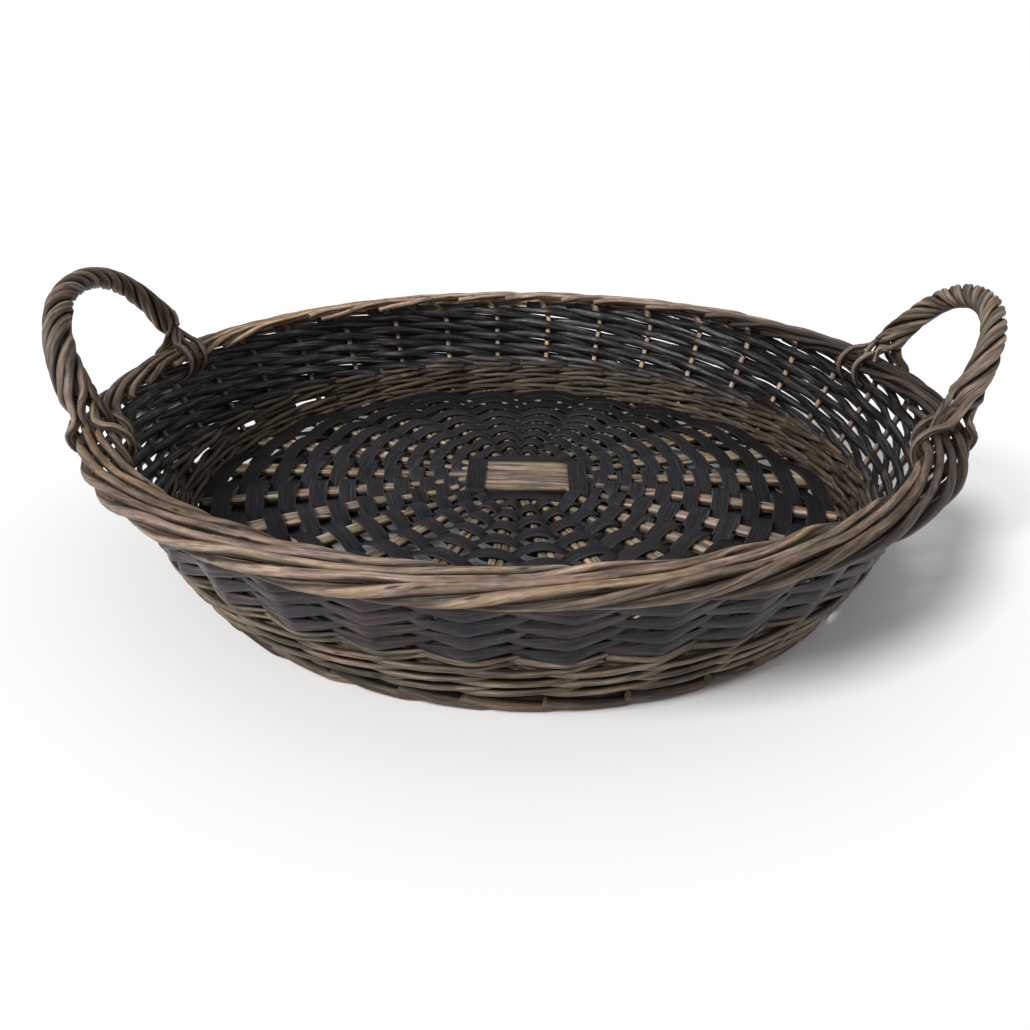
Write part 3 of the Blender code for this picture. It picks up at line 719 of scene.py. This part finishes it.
def build_chip(name, node, start, first_side):
    weave = Weave()
    u = np.arange(0, CHIP_TURNS * SPOKES, 1 / CHIP_SAMPLES)
    radius = CHIP_FIRST + CHIP_PITCH * u / SPOKES + CHIP_GROWTH * (u / SPOKES) ** 2
    angle = start + (u + 0.5) * TAU / SPOKES
    wave = np.cos(math.pi * u) * first_side
    wave = np.sign(wave) * np.abs(wave) ** 0.86
    lift = np.interp(radius, [CHIP_FIRST, 0.19, CHIP_LAST], [0.0043, 0.0057, 0.0030])
    height = base_height(radius) + wave * lift
    radius = radius + drift(len(u), 0.0004, CHIP_TURNS * 3)
    pieces = np.arange(0, len(u), CHIP_LENGTH)
    for index, low in enumerate(pieces):
        high = pieces[index + 1] + CHIP_OVERLAP if index + 1 < len(pieces) else len(u)
        part = slice(low, high)
        width = CHIP_WIDTH * chance.uniform(0.97, 1.03) * np.interp(radius[part], CHIP_WIDTH_AT, CHIP_WIDTH_SHARE)
        width = width + drift(high - low, 0.0003, 8)
        weave.rod(ring_point(angle, radius, height)[part], (0, 0, 1), width, CHIP_THICKNESS, FLAT, round_end=0.02)
    top = base_height(0.035)
    side = 1 if start == 0 else -1
    frame_strip(weave, [[SLATH_MIDDLE + side * OVER_SIDE, y, top + z] for y, z in mirrored(OVER_HALF)], OVER_WIDTH)
    raised = ACROSS_RAISED if side == 1 else 0.0
    half = (ACROSS_END, *((x, raised + z) for x, z in ACROSS_HALF))
    across = [[SLATH_MIDDLE + x, side * ACROSS_SIDE, top + z] for x, z in mirrored(half)]
    frame_strip(weave, across, ACROSS_WIDTH)
    weave.piece(name, node, "chip_black", chip_fibre, chip_fibre, 35)


build_chip("chips_first", "base_chip_a", 0, 1)
build_chip("chips_second", "base_chip_b", math.pi, -1)


# ---- Handles ----

HANDLE_FOOT_HEIGHT = 0.101
STRANDS = 8
STRAND_WIDTH = 0.0040
BODY_START, BODY_END, BODY_STEP = 0.020, 0.019, 0.003
BOW_SLACK = 0.0036
# Lay and radius of the rope, from the top of the arch (0) to its feet (1)
LAY_AT, LAY = [0, 0.4, 0.75, 1], [0.048, 0.056, 0.105, 0.150]
RING_AT, RING = [0, 0.45, 0.75, 0.86, 1], [0.0053, 0.0055, 0.0066, 0.0078, 0.0100]

# Keys of the strands that pass outside, in the middle and inside of the border: share of the way from
# the leg to the strand's own place, radius, height, and the outward direction as radial and up
FANS = (((0.50, 0.2742, 0.1062, 0.7, 0.8), (0.85, 0.2792, 0.0985, 1.0, 0.2),
         (1.05, 0.2765, 0.0898, 0.8, -0.6), (1.15, 0.2690, 0.0860, 0.5, -0.9)),
        ((0.50, 0.2655, 0.1130, 1.0, 0.4), (0.90, 0.2625, 0.1062, 1.0, 0.3), (1.15, 0.2610, 0.0975, 1.0, 0.1)),
        ((0.45, 0.2625, 0.1095, 0.0, 1.0), (0.75, 0.2525, 0.1070, -0.4, 1.0), (0.95, 0.2462, 0.1005, -1.0, 0.3),
         (1.02, 0.2462, 0.0935, -1.0, -0.2), (1.08, 0.2500, 0.0870, -1.0, -0.5), (1.12, 0.2545, 0.0845, -0.7, -0.8)))
FAN_LIMITS = (-0.45, 0.55)
MIDDLE_SPREAD = 0.015

# The flat rod that shows on the left bow
FLAT_ROD = slice(3, 25)
FLAT_RAISED, FLAT_WIDTH, FLAT_THICKNESS = 0.0024, 0.0062, 0.0020


def arch(side, front, back, low, rise, lean, count=241):
    """Centre line of a handle from its front foot to its back foot."""
    t = np.linspace(0, math.pi, count)
    lift = np.sin(t) * rise
    y = (back - front) / 2 - (front + back) / 2 * np.sign(np.cos(t)) * np.abs(np.cos(t)) ** 0.9
    return np.stack([side * (low + lift * math.sin(lean)), y, HANDLE_FOOT_HEIGHT + lift * math.cos(lean)], -1)


def fan(side, end, leg, group, rank, kind, outward):
    """Keys that lead a strand from the leg over or into the border: outside, middle or inside."""
    keys = []
    centre, half = (group[0] + group[1]) / 2, (group[1] - group[0]) / 2
    for share, radius, height, nr, nz in FANS[kind]:
        angle = leg + (centre - leg) * share + half * (2 * rank - 1) * min(1, 0.35 + share)
        angle = (1 if end else -1) * math.radians(angle)
        point = ring_point(angle, radius + (MIDDLE_SPREAD * outward if kind == 1 else 0), height)
        keys.append([side * point[0], point[1], point[2], side * nr * math.cos(angle), nr * math.sin(angle), nz])
    return keys


def build_handle(word, side, front, back, low, rise, lean, girth, feet):
    """A bow with eight strands roped round it.

    Front and back are how far its legs stand from the middle, low is their radius, girth is how much
    thicker the front leg is, and feet are the degrees between which each fan grips the border.
    """
    line = arch(side, front, back, low, rise, lean)
    up = np.array([side * math.sin(lean), 0, math.cos(lean)])
    plane = np.cross(up, (0, 1, 0))
    plane /= np.linalg.norm(plane)
    plane *= np.sign(plane[0]) * side
    length = np.concatenate([[0], np.cumsum(np.linalg.norm(np.diff(line, axis=0), axis=1))])
    total = length[-1]
    s = np.arange(BODY_START, total - BODY_END, BODY_STEP)
    path = np.stack([np.interp(s, length, line[:, i]) for i in range(3)], -1)
    run = np.gradient(path, axis=0)
    run /= np.linalg.norm(run, axis=1)[:, None]
    across = np.cross(run, plane)
    middle = np.abs(s / total - 0.5) * 2
    lay = np.interp(middle, LAY_AT, LAY)
    twist = np.concatenate([[0], np.cumsum(np.diff(s) / lay[1:])]) * TAU
    near = 1 + girth * np.interp(s / total, [0.1, 0.4], [1, 0])
    ring = near * np.interp(middle, RING_AT, RING)
    turns = np.arange(STRANDS) / STRANDS * TAU
    later = [turns - twist[0] + 1.1, turns - twist[-1] - 1.1]
    weaves = {"a": Weave(), "b": Weave()}
    for strand in range(STRANDS):
        phase = (strand + 0.14 * (-1) ** strand) / STRANDS * TAU - twist + drift(len(s), 0.06, 3)
        spread = ring + drift(len(s), 0.00025, 5)
        aim = across * np.cos(phase)[:, None] + plane * np.sin(phase)[:, None]
        body = path + aim * spread[:, None]
        keys = [[*p, *a] for p, a in zip(body[::2], aim[::2])]
        for end in (0, 1):
            kind = np.digitize(-np.sin(later[end]), FAN_LIMITS)
            away = -side * np.cos(later[end])
            group = np.flatnonzero(kind == kind[strand])
            rank = np.count_nonzero(away[group] < away[strand]) / (len(group) - 1) if len(group) > 1 else 0.5
            leg = math.degrees(math.atan2(back if end else front, low))
            extra = fan(side, end, leg, feet[end][kind[strand]], rank, kind[strand], math.sin(later[end][strand]))
            keys = keys + extra if end else extra[::-1] + keys
        rows = spline(keys, 0.003)
        size = STRAND_WIDTH * chance.uniform(0.93, 1.08)
        at = np.linalg.norm(rows[:, None, :3] - path[None, ::4], axis=2).argmin(1) * 4
        ends = np.minimum(np.arange(len(rows)), np.arange(len(rows))[::-1])
        wide = np.clip(TAU * ring[at] / STRANDS * 0.95, size, 0.0056) * np.interp(ends, [0, 9, 18], [0.8, 0.9, 1])
        thick = size * near[at] * np.interp(ends, [0, 9], [0.9, 1.05])
        weaves["a" if strand % 2 else "b"].rod(rows[:, :3], rows[:, 3:6], wide, thick)
    for key, weave in weaves.items():
        weave.piece(f"rope_{word}_{key}", f"handle_wrap_{word}_{key}", "handle_willow", handle_bark, dull_cut)
    bow = Weave()
    bow.rod(path, plane, 2 * ring - BOW_SLACK)
    if word == "left":
        flat_path = path + side * across * (ring[:, None] + FLAT_RAISED)
        bow.rod(flat_path[FLAT_ROD], side * across[FLAT_ROD], FLAT_WIDTH, FLAT_THICKNESS, FLAT)
    bow.piece(f"core_{word}", f"handle_bow_{word}", "bow_willow", bow_bark, dull_cut)


build_handle("right", 1, 0.0705, 0.0620, 0.2515, 0.0690, math.radians(32), 0.04,
             (((12.4, 16.6), (15.8, 19.0), (18.4, 23.6)), ((10.4, 14.4), (12.6, 15.2), (13.4, 17.8))))
build_handle("left", -1, 0.0825, 0.0830, 0.2510, 0.0773, math.radians(26.5), 0.18,
             (((16.0, 19.6), (18.6, 21.0), (20.0, 24.8)), ((14.8, 18.2), (14.6, 17.0), (13.0, 17.2))))


# ---- Stage, light and camera ----

FLOOR_REACH, FLOOR_LEVEL = 40, -0.0002
ROOM_LIGHT = 0.43


def floor_material():
    """White where it is seen, and greyer in the light that it gives back to the basket."""
    shade = Shade("floor_pale", 0.9)
    light = shade.add("ShaderNodeLightPath")
    seen = shade.maths("MAXIMUM", light.outputs["Is Camera Ray"], light.outputs["Is Glossy Ray"])
    seen = shade.maths("MAXIMUM", seen, light.outputs["Is Transmission Ray"])
    colour = shade.mix("MIX", seen, (0.55, 0.55, 0.55), (1.0, 1.0, 1.0))
    shade.links.new(colour, shade.shader.inputs["Base Color"])
    shade.shader.inputs["Specular IOR Level"].default_value = 0.0
    return shade.material


corners = [(x * FLOOR_REACH, y * FLOOR_REACH, FLOOR_LEVEL) for x, y in ((-1, -1), (1, -1), (1, 1), (-1, 1))]
mesh = bpy.data.meshes.new("floor")
mesh.from_pydata(corners, [], [(0, 1, 2, 3)])
mesh.materials.append(floor_material())
floor = bpy.data.objects.new("floor", mesh)
bpy.context.scene.collection.objects.link(floor)

world = bpy.data.worlds.new("studio")
bpy.context.scene.world = world
world.use_nodes = True
tree = world.node_tree
back = tree.nodes["Background"]
light_path = tree.nodes.new("ShaderNodeLightPath")
blend = tree.nodes.new("ShaderNodeMapRange")
blend.inputs["To Min"].default_value = ROOM_LIGHT
blend.inputs["To Max"].default_value = 1.0
tree.links.new(light_path.outputs["Is Camera Ray"], blend.inputs["Value"])
tree.links.new(blend.outputs[0], back.inputs["Strength"])
back.inputs["Color"].default_value = (1, 1, 1, 1)


def lamp(name, place, spread, strength):
    """A soft, distant lamp that shines from a place towards the basket."""
    data = bpy.data.lights.new(name, "SUN")
    data.angle, data.energy = math.radians(spread), strength
    item = bpy.data.objects.new(name, data)
    bpy.context.scene.collection.objects.link(item)
    item.location = place
    item.rotation_euler = Vector(place).to_track_quat("Z", "Y").to_euler()


lamp("key", (-1.15, -1.3, 1.7), 18, 2.75)
lamp("fill", (1.6, -0.5, 1.4), 50, 0.05)

# The camera was fitted to the photo: focal length in its pixels, places in rim radii, turns in radians
PHOTO_WIDTH, FOCAL = 1030, 954.5
ASIDE, DISTANCE, HIGH = -0.0095, 2.2204, 1.0929
PITCH_DOWN, ROLL = 0.4507, 0.0256
camera = bpy.data.cameras.new("camera")
camera.sensor_width = 36
camera.lens = camera.sensor_width * FOCAL / PHOTO_WIDTH
camera.clip_start = 0.01
eye = bpy.data.objects.new("camera", camera)
bpy.context.scene.collection.objects.link(eye)
turn = Matrix.Rotation(math.pi / 2 - PITCH_DOWN, 4, "X") @ Matrix.Rotation(ROLL, 4, "Z")
eye.matrix_world = Matrix.Translation((ASIDE * RIM_RADIUS, -DISTANCE * RIM_RADIUS, HIGH * RIM_RADIUS)) @ turn
bpy.context.scene.camera = eye
bpy.context.scene.view_settings.view_transform = "Standard"
